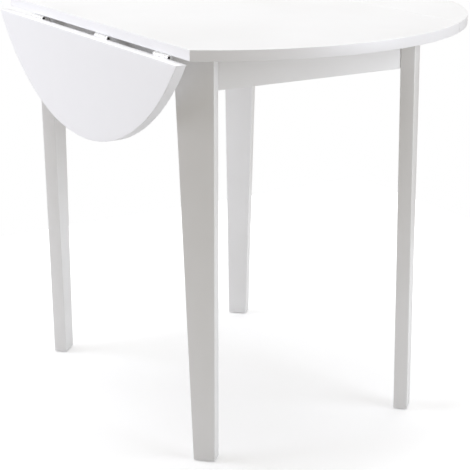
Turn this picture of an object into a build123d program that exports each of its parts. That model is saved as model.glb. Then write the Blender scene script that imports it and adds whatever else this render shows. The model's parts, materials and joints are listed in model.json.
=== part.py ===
from build123d import *
from math import cos, radians, sin, sqrt
import os

# Round drop-leaf table: a fixed middle panel on four corner legs, with a leaf hinged along each
# side. Millimetres. X runs across the hinge lines, Y along them, Z up. The origin is on the
# floor, under the centre of the disc that the panel and its two raised leaves make up.
# At rest the left leaf hangs and the right leaf is raised.

# Table top
table_diameter = 900.0
table_height = 725.0
board_thickness = 18.0
hinge_line = 265.5  # centre of the table to the middle panel's cut edge
leaf_gap = 1.0  # between the cut edges when a leaf is raised
rim_round = 1.8
cut_edge_bevel = 0.6

# Hinges
hinge_stations = (-272.0, -52.0, 224.0)
hinge_length = 50.0
barrel_radius = 4.0
barrel_drop = 4.5  # hinge axis below the underside
knuckle_pitch = 10.0
knuckle_gap = 0.4
fixed_knuckles = (-2, 0, 2)  # in pitches from the middle of the hinge
moving_knuckles = (-1, 1)
hinge_pin_radius = 2.0
pin_recess = 2.5  # the pin stops short of the barrel's ends
running_clearance = 0.05
plate_thickness = 1.5
plate_reach = 15.0  # hinge axis to the plate's free edge, short of the legs
plate_notch = 4.6  # hinge axis to the plate, beside the other plate's knuckles
plate_corner = 2.5
hinge_screw_reach = 10.2
hinge_screw_pitch = 17.0

# Legs: boards set across the corners, narrower at the foot
leg_thickness = 25.5
leg_width = 68.0
leg_foot_width = 38.0
leg_leaf_side_taper = 24.0  # the rest of the taper comes off the other edge
leg_centre = (224.5, 301.0)  # middle of the outer face, at the top
leg_edge_round = 1.2
glide_thickness = 2.0
glide_radius = 8.0

# Aprons
apron_height = 64.0
apron_thickness = 18.0
apron_edge_round = 1.0
apron_end_bevel = 2.4

# Corner blocks and leg bolts
block_gap = 30.0  # inside of the leg to the block
block_thickness = 20.0
block_height = 50.0
block_drop = 5.0  # underside to the block's top
bolt_radius = 4.0
bolt_spacing = 26.0
bolt_bite = 19.0
bolt_tail = 5.0
bolt_clearance = 0.4
washer_radius = 9.0
washer_thickness = 1.6
nut_width = 13.0
nut_height = 6.5

# Screws
screw_radius = 1.7
screw_point = 3.0
screw_hole_radius = 1.75
screw_head_radius = 3.2
screw_head_height = 1.7
recess_width = 0.8
recess_length = 3.6
recess_depth = 0.9
plate_screw_length = 13.0
pilot_spare = 0.5  # a pilot hole is this much deeper than its screw
block_screw_length = 20.0
block_screw_cover = 8.0  # wood left between the screw's head and the apron
pocket_radius = 4.2
pocket_length = 16.0

# Angle brackets between the aprons and the top
angle_leg = 22.0
angle_width = 18.0
angle_thickness = 2.0
angle_screw_reach = 13.0
side_angle_stations = (-90.0, 90.0)
end_angle_stations = (-100.0, 100.0)

# Swinging arms that prop a raised leaf
arm_stations = (-110.0, 110.0)
arm_raised_angle = 22.5
arm_thickness = 5.0
arm_pivot_offset = 13.0  # apron's face to the pivot
arm_pivot_drop = 50.0  # underside to the pivot
arm_root_radius = 9.0
arm_tip_radius = 5.0
pad_radius = 7.0
pad_length = 14.0
pad_clearance = 0.3
arm_pin_radius = 3.0
arm_pin_head_radius = 5.5
arm_pin_head_height = 1.5
ear_gap = 0.3
ear_thickness = 2.5
mount_thickness = 2.5
mount_width = 34.0
mount_height = 34.0
mount_screw_spacing = (23.0, 20.0)

# Worked out from the sizes above
disc_radius = table_diameter / 2
underside = table_height - board_thickness
hinge_x = hinge_line + leaf_gap / 2
hinge_z = underside - barrel_drop
root_two = sqrt(2)
leg_reach = (leg_centre[0] + leg_centre[1]) / root_two  # table's centre to the leg's outer face
leg_shift = (leg_centre[0] - leg_centre[1]) / root_two  # leg's middle off the diagonal
leg_inside = leg_reach - leg_thickness
apron_face_x = (leg_inside + leg_shift + leg_width / 2) / root_two
apron_face_y = (leg_inside - leg_shift + leg_width / 2) / root_two
apron_back_x = apron_face_x - apron_thickness
apron_back_y = apron_face_y - apron_thickness
block_reach = leg_inside - block_gap
block_back = block_reach - block_thickness
block_middle_z = underside - block_drop - block_height / 2
arm_pivot_x = apron_face_x + arm_pivot_offset
arm_pivot_z = underside - arm_pivot_drop
arm_rise = arm_pivot_drop - pad_clearance - pad_radius
arm_length = arm_rise / sin(radians(arm_raised_angle))

sides = {"left": -1, "right": 1}
ends = {"front": -1, "rear": 1}
stations = dict(zip(("front", "middle", "rear"), hinge_stations))
arm_ends = dict(zip(("front", "rear"), arm_stations))


def save(piece, node):
    """Labels a finished piece and writes it as its own STEP."""
    piece.part.label = node
    export_step(piece.part, f"parts/{node}.step")


def chord_half(distance):
    """Half the length of a chord of the table's disc, at this distance from its centre."""
    return sqrt(disc_radius**2 - distance**2)


def board_plane(side, moving, height):
    """Parallel to a board's faces, this far above the hinge axis, local X away from the hinge."""
    away = Vector(-side, 0, 0)
    up = Vector(0, 0, 1)
    if moving:
        away = Vector(0, 0, -1) if side < 0 else Vector(1, 0, 0)
        up = Vector(-1, 0, 0) if side < 0 else Vector(0, 0, 1)
    return Plane(origin=Vector(side * hinge_x, 0, hinge_z) + up * height, x_dir=away, z_dir=up)


def section_plane(side, moving, station):
    """Across the hinge at a station: local X away from the hinge, local Y towards the top face."""
    board = board_plane(side, moving, 0)
    origin = Vector(side * hinge_x, station, hinge_z)
    return Plane(origin=origin, x_dir=board.x_dir, z_dir=board.x_dir.cross(board.z_dir))


def hinge_screw_points(side, moving, station):
    """The three screws of one hinge plate, on its board plane."""
    local_y = station * board_plane(side, moving, 0).y_dir.Y
    rows = [local_y + i * hinge_screw_pitch for i in (-1, 0, 1)]
    return [(hinge_screw_reach, y) for y in rows]


def corner_plane(side, end, reach, z):
    """Across a corner, this far from the table's centre, on the leg's middle line; local Y is up."""
    origin = (side * (reach + leg_shift) / root_two, end * (reach - leg_shift) / root_two, z)
    return Plane(origin=origin, x_dir=(-end, side, 0), z_dir=(side, end, 0))


def bolt_points():
    """The two bolts of one leg, on its corner plane at the block's middle height."""
    return [(0, -bolt_spacing / 2), (0, bolt_spacing / 2)]


def block_screw_planes(side, end):
    """Seats of a corner block's two screws, each facing its apron."""
    middle = (block_reach + block_back) / root_two
    into_end = Plane(
        origin=(side * (middle - apron_back_y), end * (apron_back_y - block_screw_cover), block_middle_z),
        z_dir=(0, end, 0),
    )
    into_side = Plane(
        origin=(side * (apron_back_x - block_screw_cover), end * (middle - apron_back_x), block_middle_z),
        z_dir=(side, 0, 0),
    )
    return into_end, into_side


def angle_planes(wall):
    """One plane for each angle bracket of an apron: local X inward, local Y up, at the corner."""
    name, sign = wall
    if name in sides:
        spots = [(sign * apron_back_x, y, underside) for y in side_angle_stations]
        inward = (-sign, 0, 0)
    else:
        spots = [(x, sign * apron_back_y, underside) for x in end_angle_stations]
        inward = (0, -sign, 0)
    across = Vector(*inward).cross(Vector(0, 0, 1))
    return [Plane(origin=spot, x_dir=inward, z_dir=across) for spot in spots]


def angle_screw_planes(corner):
    """Seats of a bracket's two screws: up into the top, and out into the apron."""
    upward = Plane(
        origin=corner.from_local_coords(Vector(angle_screw_reach, -angle_thickness, 0)),
        z_dir=corner.y_dir,
    )
    outward = Plane(
        origin=corner.from_local_coords(Vector(angle_thickness, -angle_screw_reach, 0)),
        z_dir=-corner.x_dir,
    )
    return upward, outward


def arm_plane(side, station):
    """At an arm's pivot, local X along the arm as it rests."""
    along = Vector(0, 0, -1)
    if side > 0:
        raised = radians(arm_raised_angle)
        along = Vector(cos(raised), 0, sin(raised))
    return Plane(origin=(side * arm_pivot_x, station, arm_pivot_z), x_dir=along, z_dir=(0, 1, 0))


def mount_plane(side, station, offset):
    """Parallel to the side apron's outer face at an arm, local Y up, this far off the face."""
    origin = (side * (apron_face_x + offset), station, arm_pivot_z)
    return Plane(origin=origin, x_dir=(0, side, 0), z_dir=(side, 0, 0))


def mount_screw_points():
    """The four screws of an arm's mount."""
    half_y = mount_screw_spacing[0] / 2
    half_z = mount_screw_spacing[1] / 2
    return [(y, z) for y in (-half_y, half_y) for z in (-half_z, half_z)]


def bore(plane, points, radius, depth):
    """Cuts round holes into the current part, along the plane's normal."""
    with BuildSketch(plane) as marks:
        with Locations(*points):
            Circle(radius)
    extrude(marks.sketch, amount=depth, mode=Mode.SUBTRACT)


def drive_screws(plane, points, length):
    """Adds cross-head screws whose heads seat on the plane and whose shanks follow its normal."""
    with BuildSketch(plane) as shanks:
        with Locations(*points):
            Circle(screw_radius)
    extrude(shanks.sketch, amount=length - screw_point)
    with BuildSketch(plane.offset(length - screw_point)) as shank_ends:
        with Locations(*points):
            Circle(screw_radius)
    extrude(shank_ends.sketch, amount=screw_point, taper=26)
    with BuildSketch(plane) as heads:
        with Locations(*points):
            Circle(screw_head_radius)
    extrude(heads.sketch, amount=-screw_head_height, taper=20)
    with BuildSketch(plane.offset(-screw_head_height)) as recesses:
        with Locations(*points):
            Rectangle(recess_length, recess_width)
            Rectangle(recess_width, recess_length)
    extrude(recesses.sketch, amount=recess_depth, mode=Mode.SUBTRACT)


def add_hinge_plate(side, moving, station, knuckles):
    """Adds one wing of a hinge: a screwed plate and its share of the barrel."""
    section = section_plane(side, moving, station)
    plate_low = barrel_drop - plate_thickness
    seat = board_plane(side, moving, plate_low)
    middle = station * seat.y_dir.Y
    with BuildSketch(seat) as wing:
        with Locations((plate_notch, middle)):
            Rectangle(plate_reach - plate_notch, hinge_length, align=(Align.MIN, Align.CENTER))
        fillet(wing.vertices().sort_by(Axis.X)[-2:], plate_corner)
    extrude(wing.sketch, amount=plate_thickness)
    for knuckle in knuckles:
        with BuildSketch(section.offset(knuckle * knuckle_pitch)) as curl:
            Circle(barrel_radius)
            with Locations((0, plate_low)):
                Rectangle(plate_notch + 1, plate_thickness, align=(Align.MIN, Align.MIN))
        extrude(curl.sketch, amount=(knuckle_pitch - knuckle_gap) / 2, both=True)
    with BuildSketch(section) as eye:
        Circle(hinge_pin_radius + running_clearance)
    extrude(eye.sketch, amount=hinge_length / 2 + 1, both=True, mode=Mode.SUBTRACT)
    bore(seat, hinge_screw_points(side, moving, station), screw_hole_radius, plate_thickness)


def arm_outline(plane):
    """An arm's flat outline, round at the pivot and at the tip."""
    with BuildSketch(plane) as outline:
        Circle(arm_root_radius)
        with Locations((arm_length, 0)):
            Circle(arm_tip_radius)
        make_hull()
    return outline.sketch


os.makedirs("parts", exist_ok=True)

# Middle panel: the disc between its two cut edges
cut_half = chord_half(hinge_line)
with BuildPart() as top_panel:
    with BuildSketch(Plane.XY.offset(underside)):
        with BuildLine():
            ThreePointArc((-hinge_line, -cut_half), (0, -disc_radius), (hinge_line, -cut_half))
            Line((hinge_line, -cut_half), (hinge_line, cut_half))
            ThreePointArc((hinge_line, cut_half), (0, disc_radius), (-hinge_line, cut_half))
            Line((-hinge_line, cut_half), (-hinge_line, -cut_half))
        make_face()
    extrude(amount=board_thickness)
    chamfer(top_panel.edges().filter_by(Axis.Y), cut_edge_bevel)
    fillet(top_panel.edges().filter_by(GeomType.CIRCLE), rim_round)
    for side in sides.values():
        for station in hinge_stations:
            bore(
                board_plane(side, False, barrel_drop),
                hinge_screw_points(side, False, station),
                screw_hole_radius,
                plate_screw_length - plate_thickness + pilot_spare,
            )
    for wall in (*sides.items(), *ends.items()):
        for corner in angle_planes(wall):
            seat = angle_screw_planes(corner)[0].offset(angle_thickness)
            bore(seat, [(0, 0)], screw_hole_radius, plate_screw_length - angle_thickness + pilot_spare)
save(top_panel, "top_panel")

# Leaves: the two segments outside the cut edges
leaf_cut = leaf_gap / 2
leaf_half = chord_half(hinge_x + leaf_cut)
for name, side in sides.items():
    with BuildPart() as leaf:
        with BuildSketch(board_plane(side, True, barrel_drop)):
            with BuildLine():
                Line((leaf_cut, -leaf_half), (leaf_cut, leaf_half))
                ThreePointArc((leaf_cut, leaf_half), (disc_radius - hinge_x, 0), (leaf_cut, -leaf_half))
            make_face()
        extrude(amount=board_thickness)
        chamfer(leaf.edges().filter_by(Axis.Y), cut_edge_bevel)
        fillet(leaf.edges().filter_by(GeomType.CIRCLE), rim_round)
        for station in hinge_stations:
            bore(
                board_plane(side, True, barrel_drop),
                hinge_screw_points(side, True, station),
                screw_hole_radius,
                plate_screw_length - plate_thickness + pilot_spare,
            )
    save(leaf, f"{name}_leaf")

# Hinges: a fixed plate, a moving plate and a pin at each station
for name, side in sides.items():
    for place, station in stations.items():
        with BuildPart() as fixed_plate:
            add_hinge_plate(side, False, station, fixed_knuckles)
        save(fixed_plate, f"{name}_{place}_hinge_fixed_plate")

        with BuildPart() as moving_plate:
            add_hinge_plate(side, True, station, moving_knuckles)
        save(moving_plate, f"{name}_{place}_hinge_moving_plate")

        with BuildPart() as hinge_pin:
            with BuildSketch(section_plane(side, False, station)):
                Circle(hinge_pin_radius)
            extrude(amount=hinge_length / 2 - pin_recess, both=True)
        save(hinge_pin, f"{name}_{place}_hinge_pin")

# Hinge screws, one group for each board that they hold
with BuildPart() as fixed_hinge_screws:
    for side in sides.values():
        for station in hinge_stations:
            seat = board_plane(side, False, barrel_drop - plate_thickness)
            drive_screws(seat, hinge_screw_points(side, False, station), plate_screw_length)
save(fixed_hinge_screws, "fixed_hinge_screws")

for name, side in sides.items():
    with BuildPart() as leaf_screws:
        for station in hinge_stations:
            seat = board_plane(side, True, barrel_drop - plate_thickness)
            drive_screws(seat, hinge_screw_points(side, True, station), plate_screw_length)
    save(leaf_screws, f"{name}_leaf_screws")

# Legs
leg_length = underside - glide_thickness
half_width = leg_width / 2
foot_leaf_edge = half_width - leg_leaf_side_taper
foot_other_edge = foot_leaf_edge - leg_foot_width
for end_name, end in ends.items():
    for side_name, side in sides.items():
        leaf_way = -side * end
        with BuildPart() as leg:
            with BuildSketch(corner_plane(side, end, leg_reach, underside)):
                with BuildLine():
                    Polyline(
                        (leaf_way * half_width, 0),
                        (leaf_way * foot_leaf_edge, -leg_length),
                        (leaf_way * foot_other_edge, -leg_length),
                        (-leaf_way * half_width, 0),
                        close=True,
                    )
                make_face()
            extrude(amount=-leg_thickness)
            upper_edges = leg.edges().group_by(Axis.Z)[-1]
            fillet(leg.edges() - upper_edges, leg_edge_round)
            seat = corner_plane(side, end, leg_inside, block_middle_z)
            bore(seat, bolt_points(), bolt_radius + running_clearance, bolt_bite + pilot_spare)
        save(leg, f"{end_name}_{side_name}_leg")

with BuildPart() as foot_glides:
    foot_middle = (foot_leaf_edge + foot_other_edge) / 2
    for end in ends.values():
        for side in sides.values():
            sole = corner_plane(side, end, leg_reach - leg_thickness / 2, glide_thickness)
            spot = sole.from_local_coords(Vector(-side * end * foot_middle, 0, 0))
            with BuildSketch(Plane(origin=spot, z_dir=(0, 0, -1))) as disc:
                Circle(glide_radius)
            extrude(amount=glide_thickness)
save(foot_glides, "foot_glides")

# Aprons: their ends are cut at 45 degrees against the legs
apron_low = underside - apron_height
end_at_leg = leg_inside * root_two
for name, sign in (*sides.items(), *ends.items()):
    runs_along_y = name in sides
    face, back = (apron_face_x, apron_back_x) if runs_along_y else (apron_face_y, apron_back_y)
    outline = [
        (face, end_at_leg - face),
        (face, face - end_at_leg),
        (back, back - end_at_leg),
        (back, end_at_leg - back),
    ]
    if runs_along_y:
        points = [(sign * across, along) for across, along in outline]
    else:
        points = [(along, sign * across) for across, along in outline]
    with BuildPart() as apron:
        with BuildSketch(Plane.XY.offset(apron_low)):
            with BuildLine():
                Polyline(*points, close=True)
            make_face()
        extrude(amount=apron_height)
        outward = Axis.X if runs_along_y else Axis.Y
        upright = apron.edges().filter_by(Axis.Z).sort_by(outward)
        chamfer(upright[-2:] if sign > 0 else upright[:2], apron_end_bevel)
        lengthwise = apron.edges().filter_by(Axis.Y if runs_along_y else Axis.X)
        fillet(lengthwise.group_by(Axis.Z)[0], apron_edge_round)
        for corner in angle_planes((name, sign)):
            seat = angle_screw_planes(corner)[1].offset(angle_thickness)
            bore(seat, [(0, 0)], screw_hole_radius, plate_screw_length - angle_thickness + pilot_spare)
        block_hole = block_screw_length - block_screw_cover + pilot_spare
        for other in (-1, 1):
            if runs_along_y:
                seat = block_screw_planes(sign, other)[1]
            else:
                seat = block_screw_planes(other, sign)[0]
            bore(seat.offset(block_screw_cover), [(0, 0)], screw_hole_radius, block_hole)
        if runs_along_y:
            for station in arm_stations:
                seat = mount_plane(sign, station, 0)
                arm_hole = plate_screw_length - mount_thickness + pilot_spare
                bore(seat, mount_screw_points(), screw_hole_radius, -arm_hole)
    save(apron, f"{name}_apron")

# Corner blocks
for end_name, end in ends.items():
    for side_name, side in sides.items():
        outer, inner = block_reach * root_two, block_back * root_two
        corners = [
            (side * apron_back_x, end * (outer - apron_back_x)),
            (side * (outer - apron_back_y), end * apron_back_y),
            (side * (inner - apron_back_y), end * apron_back_y),
            (side * apron_back_x, end * (inner - apron_back_x)),
        ]
        with BuildPart() as block:
            with BuildSketch(Plane.XY.offset(block_middle_z - block_height / 2)):
                with BuildLine():
                    Polyline(*corners, close=True)
                make_face()
            extrude(amount=block_height)
            seat = corner_plane(side, end, block_back, block_middle_z)
            bore(seat, bolt_points(), bolt_radius + bolt_clearance, block_thickness)
            for seat in block_screw_planes(side, end):
                bore(seat, [(0, 0)], screw_hole_radius, block_screw_cover)
                bore(seat, [(0, 0)], pocket_radius, -pocket_length)
        save(block, f"{end_name}_{side_name}_corner_block")

# Hanger bolts with their washers and nuts
bolt_end = block_back - washer_thickness - nut_height - bolt_tail
with BuildPart() as leg_bolts:
    for end in ends.values():
        for side in sides.values():
            with BuildSketch(corner_plane(side, end, bolt_end, block_middle_z)) as shanks:
                with Locations(*bolt_points()):
                    Circle(bolt_radius)
            extrude(amount=leg_inside + bolt_bite - bolt_end)
save(leg_bolts, "leg_bolts")

with BuildPart() as leg_washers:
    for end in ends.values():
        for side in sides.values():
            with BuildSketch(corner_plane(side, end, block_back, block_middle_z)) as rings:
                with Locations(*bolt_points()):
                    Circle(washer_radius)
                    Circle(bolt_radius + bolt_clearance, mode=Mode.SUBTRACT)
            extrude(amount=-washer_thickness)
save(leg_washers, "leg_washers")

with BuildPart() as leg_nuts:
    nut_seat = block_back - washer_thickness
    for end in ends.values():
        for side in sides.values():
            with BuildSketch(corner_plane(side, end, nut_seat, block_middle_z)) as hexagons:
                with Locations(*bolt_points()):
                    RegularPolygon(nut_width / 2, 6, major_radius=False)
                    Circle(bolt_radius + running_clearance, mode=Mode.SUBTRACT)
            extrude(amount=-nut_height)
save(leg_nuts, "leg_nuts")

with BuildPart() as corner_block_screws:
    for end in ends.values():
        for side in sides.values():
            for seat in block_screw_planes(side, end):
                drive_screws(seat, [(0, 0)], block_screw_length)
save(corner_block_screws, "corner_block_screws")

# Angle brackets that hold the middle panel down
with BuildPart() as top_brackets:
    for wall in (*sides.items(), *ends.items()):
        for corner in angle_planes(wall):
            with BuildSketch(corner) as profile:
                with BuildLine():
                    Polyline(
                        (0, 0),
                        (angle_leg, 0),
                        (angle_leg, -angle_thickness),
                        (angle_thickness, -angle_thickness),
                        (angle_thickness, -angle_leg),
                        (0, -angle_leg),
                        close=True,
                    )
                make_face()
            extrude(amount=angle_width / 2, both=True)
            for seat in angle_screw_planes(corner):
                bore(seat, [(0, 0)], screw_hole_radius, angle_thickness)
save(top_brackets, "top_brackets")

with BuildPart() as top_bracket_screws:
    for wall in (*sides.items(), *ends.items()):
        for corner in angle_planes(wall):
            for seat in angle_screw_planes(corner):
                drive_screws(seat, [(0, 0)], plate_screw_length)
save(top_bracket_screws, "top_bracket_screws")

# Arms, each with its pad and mount
ear_offset = arm_thickness / 2 + ear_gap
for name, side in sides.items():
    for place, station in arm_ends.items():
        pivot = arm_plane(side, station)
        with BuildPart() as arm:
            extrude(arm_outline(pivot), amount=arm_thickness / 2, both=True)
            with BuildSketch(pivot):
                Circle(arm_pin_radius + running_clearance)
            extrude(amount=arm_thickness, both=True, mode=Mode.SUBTRACT)
        save(arm, f"{name}_{place}_arm")

        with BuildPart() as pad:
            with BuildSketch(pivot):
                with Locations((arm_length, 0)):
                    Circle(pad_radius)
            extrude(amount=pad_length / 2, both=True)
            extrude(arm_outline(pivot), amount=arm_thickness / 2, both=True, mode=Mode.SUBTRACT)
        save(pad, f"{name}_{place}_arm_pad")

        ear_reach = arm_pivot_offset - mount_thickness
        with BuildPart() as mount:
            with BuildSketch(mount_plane(side, station, 0)):
                RectangleRounded(mount_width, mount_height, plate_corner)
            extrude(amount=mount_thickness)
            for way in (-1, 1):
                start = station + way * ear_offset
                ear = Plane(
                    origin=(side * arm_pivot_x, start, arm_pivot_z),
                    x_dir=(-side, 0, 0),
                    z_dir=(0, way, 0),
                )
                with BuildSketch(ear):
                    Circle(arm_root_radius)
                    with Locations((ear_reach / 2, 0)):
                        Rectangle(ear_reach, 2 * arm_root_radius)
                    Circle(arm_pin_radius + running_clearance, mode=Mode.SUBTRACT)
                extrude(amount=ear_thickness)
            bore(
                mount_plane(side, station, 0),
                mount_screw_points(),
                screw_hole_radius,
                mount_thickness,
            )
        save(mount, f"{name}_{place}_arm_mount")

with BuildPart() as arm_pivot_pins:
    ears_half = ear_offset + ear_thickness
    for side in sides.values():
        for station in arm_stations:
            centre = Plane(origin=(side * arm_pivot_x, station, arm_pivot_z), z_dir=(0, 1, 0))
            with BuildSketch(centre) as shaft:
                Circle(arm_pin_radius)
            extrude(amount=ears_half, both=True)
            for way in (-1, 1):
                with BuildSketch(centre.offset(way * ears_half)) as rivet_head:
                    Circle(arm_pin_head_radius)
                extrude(amount=way * arm_pin_head_height, taper=25)
save(arm_pivot_pins, "arm_pivot_pins")

with BuildPart() as arm_mount_screws:
    for side in sides.values():
        for station in arm_stations:
            face = mount_plane(side, station, mount_thickness)
            seat = Plane(origin=face.origin, x_dir=face.x_dir, z_dir=-face.z_dir)
            drive_screws(seat, mount_screw_points(), plate_screw_length)
save(arm_mount_screws, "arm_mount_screws")
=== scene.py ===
import json
import math

import bmesh
import bpy
import numpy as np
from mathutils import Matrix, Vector


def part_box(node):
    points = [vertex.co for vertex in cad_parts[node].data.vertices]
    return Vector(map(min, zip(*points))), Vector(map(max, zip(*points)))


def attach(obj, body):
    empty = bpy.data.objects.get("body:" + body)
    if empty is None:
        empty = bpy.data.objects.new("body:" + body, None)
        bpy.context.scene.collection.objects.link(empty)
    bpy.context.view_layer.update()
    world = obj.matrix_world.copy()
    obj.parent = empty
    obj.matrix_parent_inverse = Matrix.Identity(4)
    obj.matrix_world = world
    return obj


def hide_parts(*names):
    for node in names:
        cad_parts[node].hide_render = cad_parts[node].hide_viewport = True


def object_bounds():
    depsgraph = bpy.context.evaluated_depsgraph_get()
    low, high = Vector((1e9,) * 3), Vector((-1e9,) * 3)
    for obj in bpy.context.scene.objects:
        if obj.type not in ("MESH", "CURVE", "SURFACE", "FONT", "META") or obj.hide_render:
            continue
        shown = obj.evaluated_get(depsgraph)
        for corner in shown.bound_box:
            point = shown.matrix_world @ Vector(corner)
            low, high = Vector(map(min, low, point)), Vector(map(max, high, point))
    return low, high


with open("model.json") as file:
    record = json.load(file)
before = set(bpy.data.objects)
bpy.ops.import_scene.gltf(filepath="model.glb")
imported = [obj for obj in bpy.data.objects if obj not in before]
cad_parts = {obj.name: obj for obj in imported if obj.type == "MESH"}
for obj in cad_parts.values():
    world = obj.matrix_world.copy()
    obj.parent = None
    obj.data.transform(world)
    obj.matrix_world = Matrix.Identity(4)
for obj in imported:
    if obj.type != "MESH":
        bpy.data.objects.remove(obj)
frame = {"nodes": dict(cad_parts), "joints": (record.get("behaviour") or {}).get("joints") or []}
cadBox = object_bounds()
jointPlace = {joint["name"]: joint["pos_m"] for joint in frame["joints"]}
print("frame loaded,", len(frame["nodes"]), "nodes")

sideNames = {"left": -1, "right": 1}
endNames = {"front": -1, "rear": 1}


def addNode(tree, kind, **values):
    # a node with its sockets filled by name; a value that is itself a socket gets linked
    node = tree.nodes.new(kind)
    for name, value in values.items():
        if hasattr(node, name):
            setattr(node, name, value)
            continue
        socket = node.inputs[name.replace("_", " ")]
        if isinstance(value, bpy.types.NodeSocket):
            tree.links.new(value, socket)
        else:
            socket.default_value = value
    return node


def startMaterial(name, shaderValues):
    # an empty tree with a Principled shader, and the object's own coordinates in metres
    material = bpy.data.materials.new(name)
    material.use_nodes = True
    tree = material.node_tree
    tree.nodes.clear()
    shader = tree.nodes.new("ShaderNodeBsdfPrincipled")
    output = tree.nodes.new("ShaderNodeOutputMaterial")
    tree.links.new(shader.outputs[0], output.inputs[0])
    for socket, value in shaderValues.items():
        shader.inputs[socket].default_value = value
    place = tree.nodes.new("ShaderNodeTexCoord").outputs["Object"]
    return material, tree, shader, place


def noise(tree, place, size, detail=3.0, stretch=(1, 1, 1)):
    # noise whose blobs are about this many metres across, drawn out along an axis by stretch
    scaled = addNode(tree, "ShaderNodeMapping", Vector=place, Scale=[s / size for s in stretch])
    return addNode(tree, "ShaderNodeTexNoise", Vector=scaled.outputs[0], Scale=1.0, Detail=detail).outputs[0]


def remap(tree, value, low, high, fromLow=0.3, fromHigh=0.7):
    return addNode(tree, "ShaderNodeMapRange", Value=value, From_Min=fromLow, From_Max=fromHigh,
                   To_Min=low, To_Max=high).outputs[0]


def twoColours(tree, amount, first, second):
    mix = addNode(tree, "ShaderNodeMix", data_type="RGBA")
    tree.links.new(amount, mix.inputs[0])
    for socket, colour in ((mix.inputs[6], first), (mix.inputs[7], second)):
        if isinstance(colour, bpy.types.NodeSocket):
            tree.links.new(colour, socket)
        else:
            socket.default_value = (*colour, 1)
    return mix.outputs[2]


def bumps(tree, shader, layers):
    # each layer is (height, depth in metres); one Bump node feeds the next
    normal = None
    for height, depth in layers:
        bump = addNode(tree, "ShaderNodeBump", Height=height, Distance=depth, Strength=1.0)
        if normal is not None:
            tree.links.new(normal, bump.inputs["Normal"])
        normal = bump.outputs[0]
    tree.links.new(normal, shader.inputs["Normal"])


lacquerLook = {
    "topColour": (0.900, 0.897, 0.908), "topTint": (0.876, 0.873, 0.884),
    "frameColour": (0.840, 0.834, 0.826), "frameTint": (0.815, 0.808, 0.798),
    "wornColour": (0.74, 0.72, 0.68),
    "cloudSize": 0.16, "peelSize": 0.0016, "peelDepth": 0.000012,
    "strokeSize": 0.0011, "strokeDepth": 0.000010, "strokeDraw": 0.02,  # strokeDraw under 1 draws strokes out
    "patchSize": 0.02, "patchFrom": (0.5, 0.75), "patchWear": 0.35,
    "roughness": (0.30, 0.40), "coat": 0.12, "coatRoughness": 0.22, "ior": 1.47,
}


def makeLacquer(name, colour, tint, strokeAlong):
    # sprayed satin lacquer: slow clouding, fine orange peel, faint sanding strokes, thin along its edges
    look = lacquerLook
    material, tree, shader, place = startMaterial(
        name, {"Coat Weight": look["coat"], "Coat Roughness": look["coatRoughness"], "IOR": look["ior"]})
    clouds = noise(tree, place, look["cloudSize"], 4)
    peel = noise(tree, place, look["peelSize"], 2)
    drawn = [look["strokeDraw"] if axis == strokeAlong else 1 for axis in "xyz"]
    strokes = noise(tree, place, look["strokeSize"], 2, drawn)
    base = twoColours(tree, remap(tree, clouds, 0, 1), colour, tint)
    worn = addNode(tree, "ShaderNodeAttribute", attribute_name="edgeWear").outputs["Fac"]
    patches = remap(tree, noise(tree, place, look["patchSize"], 5), 0, look["patchWear"], *look["patchFrom"])
    wear = addNode(tree, "ShaderNodeMath", operation="MULTIPLY")
    tree.links.new(worn, wear.inputs[0])
    tree.links.new(patches, wear.inputs[1])
    tree.links.new(twoColours(tree, wear.outputs[0], base, look["wornColour"]), shader.inputs["Base Color"])
    tree.links.new(remap(tree, clouds, *look["roughness"]), shader.inputs["Roughness"])
    bumps(tree, shader, [(peel, look["peelDepth"]), (strokes, look["strokeDepth"])])
    return material


woodLook = {
    "early": (0.73, 0.59, 0.42), "late": (0.58, 0.43, 0.27),
    "ringSize": 0.0055, "ringTurn": (0.12, 0.05, 0.6), "ringDraw": 0.06, "ringScale": 0.16, "ringBend": 5.0,
    "ringFrom": (0.35, 1), "ringDark": 0.8,
    "fibreSize": 0.0009, "fibreDraw": 0.03, "fibreFrom": (0.45, 0.8), "fibreDark": 0.35,
    "fibreDepth": 0.00006, "roughness": (0.52, 0.72), "ior": 1.45,
}


def makeBareWood():
    # planed softwood: rings as bands bent by slow noise, and long fine fibres up the grain
    look = woodLook
    material, tree, shader, place = startMaterial("bareWood", {"IOR": look["ior"]})
    across = 1 / look["ringSize"]
    turned = addNode(tree, "ShaderNodeMapping", Vector=place, Rotation=look["ringTurn"],
                     Scale=(across, across, look["ringDraw"] * across))
    rings = addNode(tree, "ShaderNodeTexWave", Vector=turned.outputs[0], Scale=look["ringScale"],
                    Distortion=look["ringBend"], Detail=3.0, Detail_Scale=0.7).outputs[1]
    fibres = noise(tree, place, look["fibreSize"], 4, (1, 1, look["fibreDraw"]))
    ringShare = remap(tree, rings, 0, look["ringDark"], *look["ringFrom"])
    sawn = twoColours(tree, ringShare, look["early"], look["late"])
    fibreShare = remap(tree, fibres, 0, look["fibreDark"], *look["fibreFrom"])
    dark = twoColours(tree, fibreShare, sawn, look["late"])
    tree.links.new(dark, shader.inputs["Base Color"])
    tree.links.new(remap(tree, fibres, *look["roughness"]), shader.inputs["Roughness"])
    bumps(tree, shader, [(fibres, look["fibreDepth"]), (rings, look["fibreDepth"])])
    return material


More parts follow.
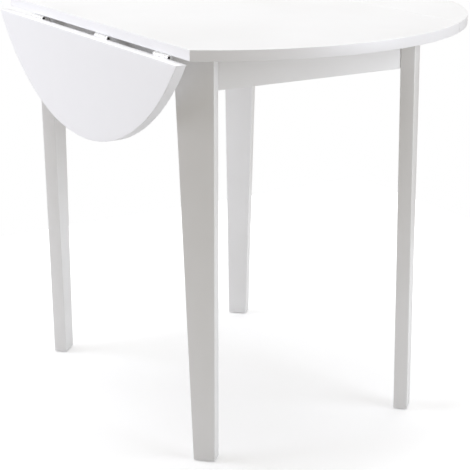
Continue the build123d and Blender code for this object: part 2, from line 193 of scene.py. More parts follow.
metalLook = {
    "zinc": {"metallic": 1.0, "bright": (0.74, 0.75, 0.77), "dull": (0.58, 0.60, 0.64), "along": "z",
             "roughness": (0.24, 0.42), "grain": 0.0035, "scratch": 0.0005, "depth": 0.000012},
    "barrel": {"metallic": 0.6, "bright": (0.97, 0.97, 0.96), "dull": (0.88, 0.88, 0.88), "along": "y",
               "roughness": (0.34, 0.48), "grain": 0.0025, "scratch": 0.0004, "depth": 0.000006},
    # the pin steel is near-black: painted shade standing for the dark hole at each hinge barrel's end
    "pin": {"metallic": 1.0, "bright": (0.16, 0.16, 0.17), "dull": (0.06, 0.06, 0.06), "along": "y",
            "roughness": (0.42, 0.65), "grain": 0.0012, "scratch": 0.0004, "depth": 0.000010},
}
rolledLook = {"anisotropy": 0.25, "cloudSize": 0.012, "cloudShare": 0.6, "cellTo": 0.4, "scratchDraw": 0.03}


def makeMetal(name, look):
    # plated steel: cloudy spangle in colour and gloss, hairline rolling marks, dull in the hollows
    rolled = rolledLook
    material, tree, shader, place = startMaterial(
        name, {"Metallic": look["metallic"], "Anisotropic": rolled["anisotropy"]})
    cells = addNode(tree, "ShaderNodeTexVoronoi", Vector=place, Scale=1 / look["grain"]).outputs["Distance"]
    clouds = noise(tree, place, rolled["cloudSize"], 4)
    drawn = [rolled["scratchDraw"] if axis == look["along"] else 1 for axis in "xyz"]
    lines = noise(tree, place, look["scratch"], 2, drawn)
    blotch = addNode(tree, "ShaderNodeMath", operation="ADD")
    tree.links.new(remap(tree, cells, 0, rolled["cellTo"], 0, 1), blotch.inputs[0])
    tree.links.new(remap(tree, clouds, 0, rolled["cloudShare"]), blotch.inputs[1])
    colour = twoColours(tree, blotch.outputs[0], look["bright"], look["dull"])
    tree.links.new(colour, shader.inputs["Base Color"])
    tree.links.new(remap(tree, lines, *look["roughness"]), shader.inputs["Roughness"])
    bumps(tree, shader, [(lines, look["depth"]), (cells, look["depth"])])
    return material


coatLook = {
    "paintedSteel": {"colour": (0.84, 0.84, 0.84), "tint": (0.78, 0.78, 0.79), "grain": 0.0009,
                     "depth": 0.00003, "roughness": (0.40, 0.55), "subsurface": 0.0},
    "nylon": {"colour": (0.80, 0.80, 0.76), "tint": (0.72, 0.72, 0.67), "grain": 0.0006,
              "depth": 0.00001, "roughness": (0.38, 0.52), "subsurface": 0.25},
    "glidePlastic": {"colour": (0.70, 0.69, 0.66), "tint": (0.52, 0.50, 0.47), "grain": 0.0008,
                     "depth": 0.00004, "roughness": (0.45, 0.70), "subsurface": 0.05},
}
skinLook = {"driftSize": 0.015, "scuffSize": 0.004, "scuffDraw": 0.2, "lightReach": 0.002, "ior": 1.5}


def makeCoat(name, look):
    # powder coat or moulded plastic: pebbled skin, slow colour drift, scuffed patches that shine less
    skin = skinLook
    material, tree, shader, place = startMaterial(
        name, {"Subsurface Weight": look["subsurface"], "Subsurface Scale": skin["lightReach"],
               "IOR": skin["ior"]})
    pebble = noise(tree, place, look["grain"], 3)
    drift = noise(tree, place, skin["driftSize"], 4)
    scuffs = noise(tree, place, skin["scuffSize"], 5, (1, skin["scuffDraw"], 1))
    tree.links.new(twoColours(tree, remap(tree, drift, 0, 1), look["colour"], look["tint"]),
                   shader.inputs["Base Color"])
    tree.links.new(remap(tree, scuffs, *look["roughness"]), shader.inputs["Roughness"])
    bumps(tree, shader, [(pebble, look["depth"]), (scuffs, look["depth"] / 3)])
    return material


finishes = {
    "topLacquer": makeLacquer("topLacquer", lacquerLook["topColour"], lacquerLook["topTint"], "y"),
    "legLacquer": makeLacquer("legLacquer", lacquerLook["frameColour"], lacquerLook["frameTint"], "z"),
    "sideLacquer": makeLacquer("sideLacquer", lacquerLook["frameColour"], lacquerLook["frameTint"], "y"),
    "endLacquer": makeLacquer("endLacquer", lacquerLook["frameColour"], lacquerLook["frameTint"], "x"),
    "bareWood": makeBareWood(),
    "zincSteel": makeMetal("zincSteel", metalLook["zinc"]),
    "barrelSteel": makeMetal("barrelSteel", metalLook["barrel"]),
    # painted shade: the near-black pin steel stands for the dark hole at each hinge barrel's end
    "pinPaintedShade": makeMetal("pinPaintedShade", metalLook["pin"]),
    **{name: makeCoat(name, look) for name, look in coatLook.items()},
}
slotFinish = {"top_lacquer": "topLacquer", "frame_lacquer": "legLacquer", "bare_wood": "bareWood",
              "zinc_steel": "zincSteel", "painted_steel": "paintedSteel", "nylon": "nylon",
              "glide_plastic": "glidePlastic"}
print("finishes made:", ", ".join(finishes))


def loft(rings, closeRound=False):
    # rings is an array (rows, points, 3): quads join each row to the next, and the last row to the
    # first when closeRound; otherwise the two end rows are capped
    rows, points = rings.shape[:2]
    index = np.arange(rows * points).reshape(rows, points)
    lower = index if closeRound else index[:-1]
    upper = np.roll(index, -1, 0) if closeRound else index[1:]
    quads = np.stack([lower, np.roll(lower, -1, 1), np.roll(upper, -1, 1), upper], -1).reshape(-1, 4)
    faces = quads.tolist()
    if not closeRound:
        faces += [index[0, ::-1].tolist(), index[-1].tolist()]
    return rings.reshape(-1, 3), faces


def joinShells(shells):
    # several (points, faces) as one, the faces counted on from the shells before
    points = np.concatenate([shell[0] for shell in shells])
    starts = np.cumsum([0] + [len(shell[0]) for shell in shells])
    faces = [[int(start) + corner for corner in face]
             for start, shell in zip(starts, shells) for face in shell[1]]
    return points, faces


def makePiece(name, shell, body, finish, replaced, wear=None, sharpAngle=32):
    # points and faces into a mesh, faces turned outwards, smooth except across real edges
    points, faces = shell
    mesh = bpy.data.meshes.new(name)
    mesh.from_pydata(points.tolist(), [], faces)
    solid = bmesh.new()
    solid.from_mesh(mesh)
    bmesh.ops.recalc_face_normals(solid, faces=solid.faces)
    solid.to_mesh(mesh)
    solid.free()
    mesh.shade_smooth()
    mesh.set_sharp_from_angle(angle=math.radians(sharpAngle))
    if wear is not None:
        mesh.attributes.new("edgeWear", "FLOAT", "POINT").data.foreach_set("value", wear.astype(np.float32))
    mesh.materials.append(finishes[finish])
    piece = bpy.data.objects.new(name, mesh)
    bpy.context.scene.collection.objects.link(piece)
    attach(piece, body)
    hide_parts(*replaced)


def insetRing(outline, depth):
    # a closed outline moved in by depth: each point goes along the bisector of its two sides, as far
    # as moves both sides by depth
    ahead = np.roll(outline, -1, 0) - outline
    ahead /= np.linalg.norm(ahead, axis=1, keepdims=True)
    behind = np.roll(ahead, 1, 0)
    inwards = np.stack([-ahead[:, 1] - behind[:, 1], ahead[:, 0] + behind[:, 0]], -1)
    return outline + depth * inwards / (1 + (ahead * behind).sum(1, keepdims=True))


def roundedSlab(outline, low, high, radius, steps=4, roundLow=True, roundHigh=True):
    # a plate with rounded rims: along a quarter turn t, the outline goes in by radius(1 - cos t) while
    # the height goes on by radius sin t
    turn = np.linspace(0, math.pi / 2, steps + 1)
    levels = []
    if roundLow:
        levels += [(radius * (1 - math.cos(t)), low + radius * (1 - math.sin(t))) for t in turn[::-1]]
    else:
        levels += [(0, low)]
    if roundHigh:
        levels += [(radius * (1 - math.cos(t)), high - radius * (1 - math.sin(t))) for t in turn]
    else:
        levels += [(0, high)]
    return np.stack([np.column_stack([insetRing(outline, depth), np.full(len(outline), height)])
                     for depth, height in levels])


def lathe(profile, steps=32):
    # a profile (radius, height) turned about the upright axis: x = r cos u, y = r sin u, z = h
    radius, height = np.array(profile, float).T
    turn = np.linspace(0, 2 * math.pi, steps, endpoint=False)
    return np.stack([radius[:, None] * np.cos(turn), radius[:, None] * np.sin(turn),
                     np.repeat(height[:, None], steps, 1)], -1)


def roundedRect(width, depth, radius, steps=5):
    # corner centres plus a quarter circle at each: centre + radius (cos t, sin t)
    turn = np.linspace(0, math.pi / 2, steps + 1)
    corners = [(1, 1), (-1, 1), (-1, -1), (1, -1)]
    return np.concatenate([
        np.column_stack([cornerX * (width / 2 - radius) + radius * np.cos(turn + quarter * math.pi / 2),
                         cornerY * (depth / 2 - radius) + radius * np.sin(turn + quarter * math.pi / 2)])
        for quarter, (cornerX, cornerY) in enumerate(corners)])


def placed(rings, origin, xAxis, yAxis, zAxis):
    # local coordinates to the frame: origin + x X + y Y + z Z
    axes = np.array([xAxis, yAxis, zAxis], float)
    return rings @ axes + np.array(origin, float)


def turnedPoints(points, centre, angle):
    # turned about the frame's Y axis through centre: x' = x cos a + z sin a, z' = z cos a - x sin a
    x, z = points[..., 0] - centre[0], points[..., 2] - centre[2]
    cosine, sine = math.cos(angle), math.sin(angle)
    return np.stack([centre[0] + x * cosine + z * sine, points[..., 1],
                     centre[2] + z * cosine - x * sine], -1)


boardLook = {"rimRound": 0.0010, "cutRound": 0.0006, "roundSteps": 6, "arcSteps": 120, "cutSteps": 24,
             "flatBand": 0.006}
topRadius = cadBox[1].y
boardLow, boardHigh = (corner.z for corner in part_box("top_panel"))


def discOutline(radius, nearX, farX, arcSteps, cutSteps):
    # the part of a disc between x = nearX and x = farX: arcs (r cos t, r sin t) between the cuts'
    # angles, and straight cuts; a cut at or past the disc's edge is left out
    turnNear = math.acos(max(-1.0, nearX / radius))
    turnFar = math.acos(min(1.0, farX / radius))
    upper = np.linspace(turnFar, turnNear, arcSteps)
    lower = -upper[::-1]
    span = np.linspace(1, -1, cutSteps + 2)[1:-1]
    parts = [radius * np.column_stack([np.cos(upper), np.sin(upper)])]
    onArc = [np.ones(arcSteps)]
    if nearX > -radius:
        half = radius * math.sin(turnNear)
        parts.append(np.column_stack([np.full(cutSteps, nearX), half * span]))
        onArc.append(np.zeros(cutSteps))
    else:
        lower = lower[1:]
    parts.append(radius * np.column_stack([np.cos(lower), np.sin(lower)]))
    onArc.append(np.ones(len(lower)))
    if farX < radius:
        half = radius * math.sin(turnFar)
        parts.append(np.column_stack([np.full(cutSteps, farX), -half * span]))
        onArc.append(np.zeros(cutSteps))
    else:
        parts[-1], onArc[-1] = parts[-1][:-1], onArc[-1][:-1]
    return np.concatenate(parts), np.concatenate(onArc)


def boardRings(nearX, farX, low, high):
    # along a quarter turn t the rim goes in by r(1 - cos t) and up by r sin t, with a large r on the
    # round rim and a small one on the straight cuts; a flat band inside leads to the face
    look = boardLook
    turn = np.linspace(0, math.pi / 2, look["roundSteps"] + 1)
    depth = np.append(1 - np.cos(turn), 1)
    climb = np.append(1 - np.sin(turn), 0)
    band = np.append(np.zeros(len(turn)), look["flatBand"])
    rings, wear = [], []
    order = list(range(len(depth)))[::-1]
    for end, rows in ((-1, order), (1, order[::-1])):
        for row in rows:
            rimIn = look["rimRound"] * depth[row] + band[row]
            cutIn = look["cutRound"] * depth[row] + band[row]
            newRadius = topRadius - rimIn
            near = nearX + cutIn if nearX > -topRadius else -newRadius
            far = farX - cutIn if farX < topRadius else newRadius
            outline, onArc = discOutline(newRadius, near, far, look["arcSteps"], look["cutSteps"])
            rounding = np.where(onArc > 0, look["rimRound"], look["cutRound"])
            height = low + rounding * climb[row] if end < 0 else high - rounding * climb[row]
            rings.append(np.column_stack([outline, height]))
            worn = math.sin(math.pi * min(row, look["roundSteps"]) / look["roundSteps"]) ** 2
            wear.append(np.full(len(outline), worn * (band[row] == 0)))
    return np.stack(rings), np.concatenate(wear)


def makeBoards():
    # the leaves are laid out level, and each is then turned about its hinge line as it rests
    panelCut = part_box("top_panel")[1].x
    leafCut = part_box("right_leaf")[0].x
    rings, wear = boardRings(-panelCut, panelCut, boardLow, boardHigh)
    makePiece("middleBoard", loft(rings), "frame", "topLacquer", ["top_panel"], wear)
    rings, wear = boardRings(leafCut, topRadius, boardLow, boardHigh)
    makePiece("rightLeafBoard", loft(rings), "right_leaf", "topLacquer", ["right_leaf"], wear)
    rings, wear = boardRings(-topRadius, -leafCut, boardLow, boardHigh)
    hanging = turnedPoints(rings, jointPlace["left_leaf_hinge"], -math.pi / 2)
    makePiece("leftLeafBoard", loft(hanging), "left_leaf", "topLacquer", ["left_leaf"], wear)


makeBoards()
print("boards made")


legLook = {"thickness": 0.0255, "width": 0.068, "footWidth": 0.038, "leafSideTaper": 0.024,
           "edgeRound": 0.0014, "soleRound": 0.0012, "rows": 24, "soleSteps": 4, "cornerSteps": 5}


def legRings(lowZ, highZ, leafWay):
    # a rounded board section carried up: its width and its middle run straight from foot to top, and
    # over the last bit above the floor it draws in by r(1 - cos t) as it drops by r sin t
    look = legLook
    turn = np.linspace(math.pi / 2, 0, look["soleSteps"] + 1)
    drawIn = np.append(look["soleRound"] * (1 - np.cos(turn)), np.zeros(look["rows"]))
    soleHeights = look["soleRound"] * (1 - np.sin(turn))
    length = highZ - lowZ
    heights = np.append(soleHeights, np.linspace(look["soleRound"], length, look["rows"] + 1)[1:])
    drop = 1 - heights / length
    leafEdge = look["width"] / 2 - look["leafSideTaper"] * drop
    otherTaper = look["width"] - look["footWidth"] - look["leafSideTaper"]
    otherEdge = -look["width"] / 2 + otherTaper * drop
    rings = []
    for right, left, inset, height in zip(leafEdge, otherEdge, drawIn, heights):
        section = roundedRect(right - left - 2 * inset, look["thickness"] - 2 * inset, look["edgeRound"],
                              look["cornerSteps"])
        section = section + (leafWay * (right + left) / 2, 0)
        rings.append(np.column_stack([section, np.full(len(section), lowZ + height)]))
    return np.stack(rings)


def makeLegs():
    # each section's X runs along the leg's wide face and its Y points away from the table's middle; wear
    # rises and falls as sin squared round each of the four corners
    cornerWear = np.sin(np.linspace(0, math.pi, legLook["cornerSteps"] + 1)) ** 2
    for endName, end in endNames.items():
        for sideName, side in sideNames.items():
            node = f"{endName}_{sideName}_leg"
            low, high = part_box(node)
            middle = ((low.x + high.x) / 2, (low.y + high.y) / 2, 0)
            along = np.array((-end, side, 0)) / math.sqrt(2)
            outward = np.array((side, end, 0)) / math.sqrt(2)
            rings = legRings(low.z, high.z, -side * end)
            shell = loft(placed(rings, middle, along, outward, (0, 0, 1)))
            makePiece(f"{endName}{sideName.title()}Leg", shell, "frame", "legLacquer",
                      [node], np.tile(cornerWear, 4 * len(rings)))


makeLegs()
print("legs made")


apronLook = {"edgeRound": 0.0011, "endBevel": 0.0024}


def makeAprons():
    # the plan outline has its ends cut at 45 degrees and bevelled at the face; it is carried up as a
    # slab with a rounded lower edge
    look = apronLook
    for name, sign in {**sideNames, **endNames}.items():
        low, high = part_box(f"{name}_apron")
        onSide = name in sideNames
        near, far = (low.x, high.x) if onSide else (low.y, high.y)
        face, back = max(abs(near), abs(far)), min(abs(near), abs(far))
        longest = high.y if onSide else high.x
        reach = longest + back  # across plus along is this all the way down the 45 degree cut
        cut = look["endBevel"] / math.sqrt(2)
        half = [(face, reach - face - look["endBevel"]), (face - cut, reach - face + cut), (back, longest)]
        outline = np.array(half + [(across, -along) for across, along in half[::-1]])
        rings = roundedSlab(outline, low.z, high.z, look["edgeRound"], roundHigh=False)
        xAxis = (sign, 0, 0) if onSide else (0, sign, 0)
        yAxis = (0, 1, 0) if onSide else (1, 0, 0)
        wear = np.zeros(rings.shape[:2])
        wear[1:4] = 1  # the middle rows of the rounded lower edge
        shell = loft(placed(rings, (0, 0, 0), xAxis, yAxis, (0, 0, 1)))
        makePiece(f"{name}ApronBoard", shell, "frame", "sideLacquer" if onSide else "endLacquer",
                  [f"{name}_apron"], wear.ravel())


makeAprons()
print("aprons made")


hingeLook = {"plateThickness": 0.0015, "plateReach": 0.015, "rollStart": 0.0046, "barrelRadius": 0.004,
             "eyeRadius": 0.0025, "knucklePitch": 0.010, "knuckleLength": 0.0096, "plateCorner": 0.0025,
             "plateRound": 0.00025, "knuckleRound": 0.00015, "rollEnd": 35, "rollOverlap": 0.0003,
             "easeSteps": 8, "rollSteps": 39, "fixedKnuckles": (-2, 0, 2), "movingKnuckles": (-1, 1)}


def rollOutline(seat):
    # the sheet's section: flat out to the plate, easing down to the barrel's radius, round the barrel
    # from 90 to 395 degrees, and back along the eye; the ease is t t (3 - 2 t)
    look = hingeLook
    along = np.linspace(look["rollStart"] + look["rollOverlap"], 0, look["easeSteps"] + 1)
    t = np.clip(along / look["rollStart"], 0, 1)
    ease = t * t * (3 - 2 * t)
    barrel, eye = look["barrelRadius"], look["eyeRadius"]
    upper = np.column_stack([along, barrel + (seat - barrel) * ease])
    lower = np.column_stack([along, eye + (seat - look["plateThickness"] - eye) * ease])
    turn = np.radians(np.linspace(90, 360 + look["rollEnd"], look["rollSteps"] + 1))[1:]
    circle = np.column_stack([np.cos(turn), np.sin(turn)])
    return np.concatenate([upper, barrel * circle, eye * circle[::-1], lower[::-1]])


def wingShell(origin, away, up, knuckles):
    # the plate's outline lies along the board; each knuckle is the rolled section carried along Y
    look = hingeLook
    low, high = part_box("left_front_hinge_fixed_plate")
    halfLength = (high.y - low.y) / 2
    seat = boardLow - origin[2] if up[2] else abs(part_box("left_leaf")[1].x - origin[0])
    turn = np.linspace(0, math.pi / 2, 6)
    corner = look["plateCorner"]
    reach = look["plateReach"] - corner
    outline = np.concatenate([
        [(look["rollStart"], -halfLength)],
        np.column_stack([reach + corner * np.sin(turn), -halfLength + corner - corner * np.cos(turn)]),
        np.column_stack([reach + corner * np.cos(turn), halfLength - corner + corner * np.sin(turn)]),
        [(look["rollStart"], halfLength)]])
    plate = roundedSlab(outline, seat - look["plateThickness"], seat, look["plateRound"], 3)
    shells = [loft(placed(plate, origin, away, (0, 1, 0), up))]
    section = rollOutline(seat)
    half = look["knuckleLength"] / 2
    for knuckle in knuckles:
        middle = knuckle * look["knucklePitch"]
        rings = roundedSlab(section, middle - half, middle + half, look["knuckleRound"], 2)
        shells.append(loft(placed(rings, origin, away, up, (0, 1, 0))))
    return joinShells(shells)


def makeHinges():
    # three a side, each at the middle of its pin: the fixed wing lies inwards under the middle board, and
    # the moving one outwards under a level leaf or downwards behind a hanging one
    for sideName, side in sideNames.items():
        pivot = jointPlace[f"{sideName}_leaf_hinge"]
        for place in ("front", "middle", "rear"):
            name = f"{sideName}_{place}_hinge"
            low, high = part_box(f"{name}_pin")
            origin = (pivot[0], (low.y + high.y) / 2, pivot[2])
            fixed = wingShell(origin, (-side, 0, 0), (0, 0, 1), hingeLook["fixedKnuckles"])
            hangs = side < 0
            away, up = ((0, 0, -1), (-1, 0, 0)) if hangs else ((1, 0, 0), (0, 0, 1))
            moving = wingShell(origin, away, up, hingeLook["movingKnuckles"])
            base = f"{sideName}{place.title()}Hinge"
            makePiece(f"{base}FixedWing", fixed, "frame", "barrelSteel",
                      [f"{name}_fixed_plate"])
            makePiece(f"{base}MovingWing", moving, f"{sideName}_leaf", "barrelSteel",
                      [f"{name}_moving_plate"])


makeHinges()
print("hinges made")


boltLook = {"radius": 0.004, "threadDepth": 0.00055, "pitch": 0.00125, "rowsPerTurn": 5, "columns": 18,
            "tail": 0.005, "intoLeg": 0.001, "endTaper": 0.0006, "endShare": 0.82,
            "nutWidth": 0.013, "nutHeight": 0.0065, "nutHole": 0.00405, "nutCorner": 0.0009,
            "nutFace": 0.0063, "washerRadius": 0.009, "washerThickness": 0.0016}


def threadRings(length):
    # r(u, v) = r0 - depth |2 frac(v / pitch - u) - 1| with u in turns, a thread that climbs one pitch a
    # turn; both ends taper to a share of the radius over the last bit
    look = boltLook
    rows = int(length / look["pitch"] * look["rowsPerTurn"])
    v = np.linspace(0, length, rows + 1)[:, None]
    u = np.linspace(0, 1, look["columns"], endpoint=False)[None, :]
    radius = look["radius"] - look["threadDepth"] * np.abs(2 * ((v / look["pitch"] - u) % 1) - 1)
    full = np.clip(np.minimum(v, length - v) / look["endTaper"], 0, 1)
    radius = radius * (look["endShare"] + (1 - look["endShare"]) * full)
    turn = 2 * math.pi * u
    return np.stack([radius * np.cos(turn), radius * np.sin(turn), np.broadcast_to(v, radius.shape)], -1)


def nutRings(steps=72):
    # r(u, v) = the smaller of the hexagon a / cos((u mod 60) - 30) and a cone that trims its corners;
    # the last two rows are the hole
    look = boltLook
    turn = np.linspace(0, 2 * math.pi, steps, endpoint=False)
    hexagon = look["nutWidth"] / 2 / np.cos(turn % (math.pi / 3) - math.pi / 6)
    height, corner = look["nutHeight"], look["nutCorner"]
    cut, uncut = look["nutFace"], look["nutWidth"]  # the cone's radius at the faces, and past the corners
    levels = [(0, cut), (corner, uncut), (height - corner, uncut), (height, cut)]
    rings = [(np.minimum(hexagon, cone), v) for v, cone in levels]
    rings += [(np.full(steps, look["nutHole"]), height), (np.full(steps, look["nutHole"]), 0)]
    return np.stack([np.column_stack([r * np.cos(turn), r * np.sin(turn), np.full(steps, v)])
                     for r, v in rings])


def makeBolts():
    # bolts and nuts lie along each corner's diagonal, shifted with the leg's middle; the nuts seat on
    # the washers behind the corner blocks
    look = boltLook
    legLow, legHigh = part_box("rear_right_leg")
    middle = (legLow + legHigh) / 2
    shift = (middle.x - middle.y) / math.sqrt(2)
    legInside = (middle.x + middle.y) / math.sqrt(2) - legLook["thickness"] / 2
    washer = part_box("leg_washers")[1]
    nutSeat = (washer.x + washer.y) / math.sqrt(2) - look["washerRadius"] - look["washerThickness"]
    start = nutSeat - look["nutHeight"] - look["tail"]
    nutLow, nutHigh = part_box("leg_nuts")
    bolts, nuts = [], []
    for end in endNames.values():
        for side in sideNames.values():
            outward = np.array((side, end, 0)) / math.sqrt(2)
            along = np.array((-end, side, 0)) / math.sqrt(2)
            offset = np.array((side, -end, 0)) * shift / math.sqrt(2)
            for height in (nutLow.z + look["nutWidth"] / 2, nutHigh.z - look["nutWidth"] / 2):
                spot = offset + (0, 0, height)
                thread = threadRings(legInside + look["intoLeg"] - start)
                bolts.append(loft(placed(thread, spot + outward * start, along, (0, 0, 1), outward)))
                nut = placed(nutRings(), spot + outward * nutSeat, along, (0, 0, 1), -outward)
                nuts.append(loft(nut, closeRound=True))
    makePiece("hangerBolts", joinShells(bolts), "frame", "zincSteel", ["leg_bolts"])
    makePiece("boltNuts", joinShells(nuts), "frame", "zincSteel", ["leg_nuts"], sharpAngle=24)


makeBolts()
print("bolts made")


armLook = {"thickness": 0.005, "rootRadius": 0.009, "tipRadius": 0.005, "edgeRound": 0.0008,
           "padRadius": 0.007, "padLength": 0.014, "padRound": 0.0009, "padDish": 0.0006,
           "dishRadius": 0.005,
           "plateSize": 0.034, "plateThickness": 0.0025, "plateCorner": 0.0025, "earGap": 0.0003,
           "earThickness": 0.0025, "earFlare": 0.0018, "plateRound": 0.0005,
           "rootSteps": 27, "tipSteps": 19, "earSteps": 21, "rimSteps": 4}


def armOutline(length):
    # the hull of two circles: an arc about the root from b to 360 - b and one about the tip from -b to
    # b, where cos b is the difference of the radii over the length
    look = armLook
    b = math.acos((look["rootRadius"] - look["tipRadius"]) / length)
    root = np.linspace(b, 2 * math.pi - b, look["rootSteps"] + 1)
    tip = np.linspace(-b, b, look["tipSteps"] + 1)
    return np.concatenate([
        look["rootRadius"] * np.column_stack([np.cos(root), np.sin(root)]),
        look["tipRadius"] * np.column_stack([np.cos(tip), np.sin(tip)]) + (length, 0)])


def padProfile():
    # the roller's rim goes in by r(1 - cos t) as it climbs by r sin t; inside it the ends are dished
    look = armLook
    turn = np.linspace(0, math.pi / 2, look["rimSteps"] + 1)
    radius = look["padRadius"] - look["padRound"] * (1 - np.cos(turn))
    height = look["padLength"] / 2 - look["padRound"] * (1 - np.sin(turn))
    half = [*zip(radius, height), (look["dishRadius"], look["padLength"] / 2),
            (look["dishRadius"] - look["padDish"], look["padLength"] / 2 - look["padDish"])]
    return [(r, -h) for r, h in half[::-1]] + half


def earOutline(reach):
    # a half circle about the pivot, then straight to the plate with flared corners, as a bent tab has
    look = armLook
    turn = np.linspace(math.pi / 2, 3 * math.pi / 2, look["earSteps"] + 1)
    bend = np.linspace(0, math.pi / 2, look["rimSteps"] + 1)
    radius, flare = look["rootRadius"], look["earFlare"]
    lower = np.column_stack([reach - flare + flare * np.sin(bend), -radius - flare * (1 - np.cos(bend))])
    end = radius * np.column_stack([np.cos(turn), np.sin(turn)])
    return np.concatenate([end, lower, lower[::-1] * (1, -1)])


def makeArms():
    # the left arms hang and the right ones lean up to their leaf; the length comes from a hanging one,
    # and the lean's sine is the roller's climb over that length
    look = armLook
    half = look["thickness"] / 2
    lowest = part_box("left_front_arm")[0].z
    length = jointPlace["left_front_arm_pivot"][2] - lowest - look["tipRadius"]
    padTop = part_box("right_front_arm_pad")[1].z - look["padRadius"]
    raised = math.asin((padTop - jointPlace["right_front_arm_pivot"][2]) / length)
    for sideName, side in sideNames.items():
        along = (0, 0, -1) if side < 0 else (math.cos(raised), 0, math.sin(raised))
        across = np.cross((0, 1, 0), along)
        for endName in endNames:
            node = f"{sideName}_{endName}_arm"
            base = f"{sideName}{endName.title()}"
            pivot = np.array(jointPlace[f"{node}_pivot"])
            bar = roundedSlab(armOutline(length), -half, half, look["edgeRound"])
            makePiece(f"{base}Arm", loft(placed(bar, pivot, along, across, (0, 1, 0))), node,
                      "paintedSteel", [node])
            tip = pivot + np.array(along) * length
            roller = placed(lathe(padProfile()), tip, along, across, (0, 1, 0))
            makePiece(f"{base}ArmRoller", loft(roller), node, "nylon", [f"{node}_pad"])
            mountLow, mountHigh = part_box(f"{node}_mount")
            face = min(abs(mountLow.x), abs(mountHigh.x))
            plate = roundedSlab(roundedRect(look["plateSize"], look["plateSize"], look["plateCorner"]), 0,
                                look["plateThickness"], look["plateRound"], roundLow=False)
            seat = (side * face, pivot[1], pivot[2])
            shells = [loft(placed(plate, seat, (0, side, 0), (0, 0, 1), (side, 0, 0)))]
            ear = roundedSlab(earOutline(abs(pivot[0]) - face - look["plateThickness"]), 0,
                              look["earThickness"], look["plateRound"] / 2, 2)
            for way in (-1, 1):
                start = pivot + (0, way * (half + look["earGap"]), 0)
                shells.append(loft(placed(ear, start, (-side, 0, 0), (0, 0, 1), (0, way, 0))))
            makePiece(f"{base}ArmMount", joinShells(shells), "frame", "paintedSteel",
                      [f"{node}_mount"])


makeArms()
print("arms made")


glideLook = {"radius": 0.008, "profile": [(0.0055, 0), (0.0069, 0.0001), (0.0077, 0.0005), (0.008, 0.0011),
                                          (0.008, 0.002)]}


def makeGlides():
    # a shallow turned button under each foot
    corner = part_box("foot_glides")[1]
    spot = (corner.x - glideLook["radius"], corner.y - glideLook["radius"])
    button = lathe(glideLook["profile"], 40)
    shells = [loft(button + (side * spot[0], end * spot[1], 0))
              for side in sideNames.values() for end in endNames.values()]
    makePiece("footGlides", joinShells(shells), "frame", "glidePlastic", ["foot_glides"])


makeGlides()
print("glides made")


# the pieces that keep their CAD shape take the finish of their slot, except the hinge pins, which take a
# near-black steel as painted shade for the dark hole at each hinge barrel's end
for name, node in frame["nodes"].items():
    for materialSlot in node.material_slots:
        finish = "pinPaintedShade" if name.endswith("_pin") else slotFinish[materialSlot.material.name]
        materialSlot.material = finishes[finish]
print("finishes given to the CAD pieces")


# floorGlow is painted light: a glow on the floor, seen only by the camera, that lightens the table's shadow
# there
roomLook = {"floorColour": (0.72, 0.72, 0.72), "floorGlow": (0.36, 0.67), "glowReach": (0.45, 1.0),
            "floorSize": 2.2, "floorRoughness": 0.9, "patchSize": 0.9, "patchShade": 0.985,
            "fillColour": (1.10, 1.02, 0.88), "fillLight": 0.31, "seenLight": 1.0}


def makeRoom():
    # a square floor with a painted glow, seen only by the camera, that grows with the distance from its
    # middle and lightens the table's shadow on the floor, and the studio around it
    look = roomLook
    half = look["floorSize"] / 2
    corners = [(-half, -half, 0), (half, -half, 0), (half, half, 0), (-half, half, 0)]
    mesh = bpy.data.meshes.new("floor")
    mesh.from_pydata(corners, [], [(0, 1, 2, 3)])
    floor = bpy.data.objects.new("floor", mesh)
    bpy.context.scene.collection.objects.link(floor)
    material, tree, shader, place = startMaterial(
        "floorPaintAndGlow", {"Roughness": look["floorRoughness"], "Emission Color": (1, 1, 1, 1)})
    fromMiddle = addNode(tree, "ShaderNodeVectorMath", operation="LENGTH")
    tree.links.new(place, fromMiddle.inputs[0])
    glow = remap(tree, fromMiddle.outputs[1], *look["floorGlow"], *look["glowReach"])
    # the glow is painted light: it only shows to the camera and lights nothing, so that the floor stays white
    # and the table's shadow on it faint without brightening the legs
    seenGlow = addNode(tree, "ShaderNodeMath", operation="MULTIPLY")
    tree.links.new(glow, seenGlow.inputs[0])
    tree.links.new(addNode(tree, "ShaderNodeLightPath").outputs["Is Camera Ray"], seenGlow.inputs[1])
    tree.links.new(seenGlow.outputs[0], shader.inputs["Emission Strength"])
    patches = remap(tree, noise(tree, place, look["patchSize"], 3), 0, 1)
    shade = twoColours(tree, patches, look["floorColour"],
                       [level * look["patchShade"] for level in look["floorColour"]])
    tree.links.new(shade, shader.inputs["Base Color"])
    mesh.materials.append(material)
    world = bpy.data.worlds.new("studio")
    world.use_nodes = True
    tree = world.node_tree
    # a warm, weak fill lights the table, and a white backdrop is what shows past the floor
    fill = tree.nodes["Background"]
    fill.inputs[0].default_value = (*look["fillColour"], 1)
    fill.inputs[1].default_value = look["fillLight"]
    backdrop = addNode(tree, "ShaderNodeBackground", Strength=look["seenLight"])
    backdrop.inputs[0].default_value = (1, 1, 1, 1)
    seen = addNode(tree, "ShaderNodeLightPath").outputs["Is Camera Ray"]
    choice = addNode(tree, "ShaderNodeMixShader")
    tree.links.new(seen, choice.inputs[0])
    tree.links.new(fill.outputs[0], choice.inputs[1])
    tree.links.new(backdrop.outputs[0], choice.inputs[2])
    tree.links.new(choice.outputs[0], tree.nodes["World Output"].inputs[0])
    bpy.context.scene.world = world


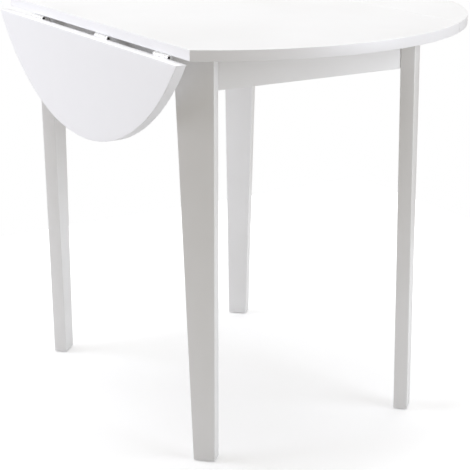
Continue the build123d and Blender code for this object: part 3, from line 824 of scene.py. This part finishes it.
lightLook = {  # azimuth is where the light stands, counted from +X towards +Y; power in watts
    "left": {"azimuth": 150, "height": 1.3, "distance": 3.2, "size": 2.4, "power": 74,
             "colour": (0.94, 0.97, 1.08)},
    "right": {"azimuth": -57, "height": 1.2, "distance": 3.4, "size": 2.2, "power": 65,
              "colour": (0.94, 0.98, 1.07)},
    "overhead": {"azimuth": 60, "height": 2.7, "distance": 0.6, "size": 3.0, "power": 61,
                 "colour": (0.97, 1.0, 1.03)},
}
lightAim = (0.05, 0, 0.42)


def makeLights():
    aim = Vector(lightAim)
    for name, look in lightLook.items():
        light = bpy.data.lights.new(f"{name}Light", "AREA")
        light.shape = "SQUARE"
        light.size = look["size"]
        light.energy = look["power"]
        light.color = look["colour"]
        lamp = bpy.data.objects.new(f"{name}Light", light)
        turn = math.radians(look["azimuth"])
        lamp.location = (look["distance"] * math.cos(turn), look["distance"] * math.sin(turn), look["height"])
        lamp.rotation_mode = "QUATERNION"
        lamp.rotation_quaternion = (aim - lamp.location).to_track_quat("-Z", "Y")
        bpy.context.scene.collection.objects.link(lamp)


cameraLook = {"azimuth": -31.973, "elevation": 14.340, "distance": 2.6961, "aimRight": 0.0947,
              "aimHeight": 0.4288, "lens": 109.17, "sensor": 36.0, "shiftX": -0.08, "shiftY": -0.15,
              "farthest": 100}


def makeCamera():
    # stands back from its aim along (sin a cos e, -cos a cos e, sin e), held level
    look = cameraLook
    a, e = math.radians(look["azimuth"]), math.radians(look["elevation"])
    back = Vector((math.sin(a) * math.cos(e), -math.cos(a) * math.cos(e), math.sin(e)))
    right = Vector((math.cos(a), math.sin(a), 0))
    aim = right * look["aimRight"] + Vector((0, 0, look["aimHeight"]))
    data = bpy.data.cameras.new("camera")
    data.sensor_width, data.lens = look["sensor"], look["lens"]
    data.shift_x, data.shift_y = look["shiftX"], look["shiftY"]
    data.clip_end = look["farthest"]
    camera = bpy.data.objects.new("camera", data)
    camera.location = aim + back * look["distance"]
    camera.rotation_mode = "QUATERNION"
    camera.rotation_quaternion = (-back).to_track_quat("-Z", "Y")
    bpy.context.scene.collection.objects.link(camera)
    bpy.context.scene.camera = camera


makeRoom()
makeLights()
makeCamera()
bpy.context.scene.view_settings.view_transform = "Standard"
print("room, lights and camera made")
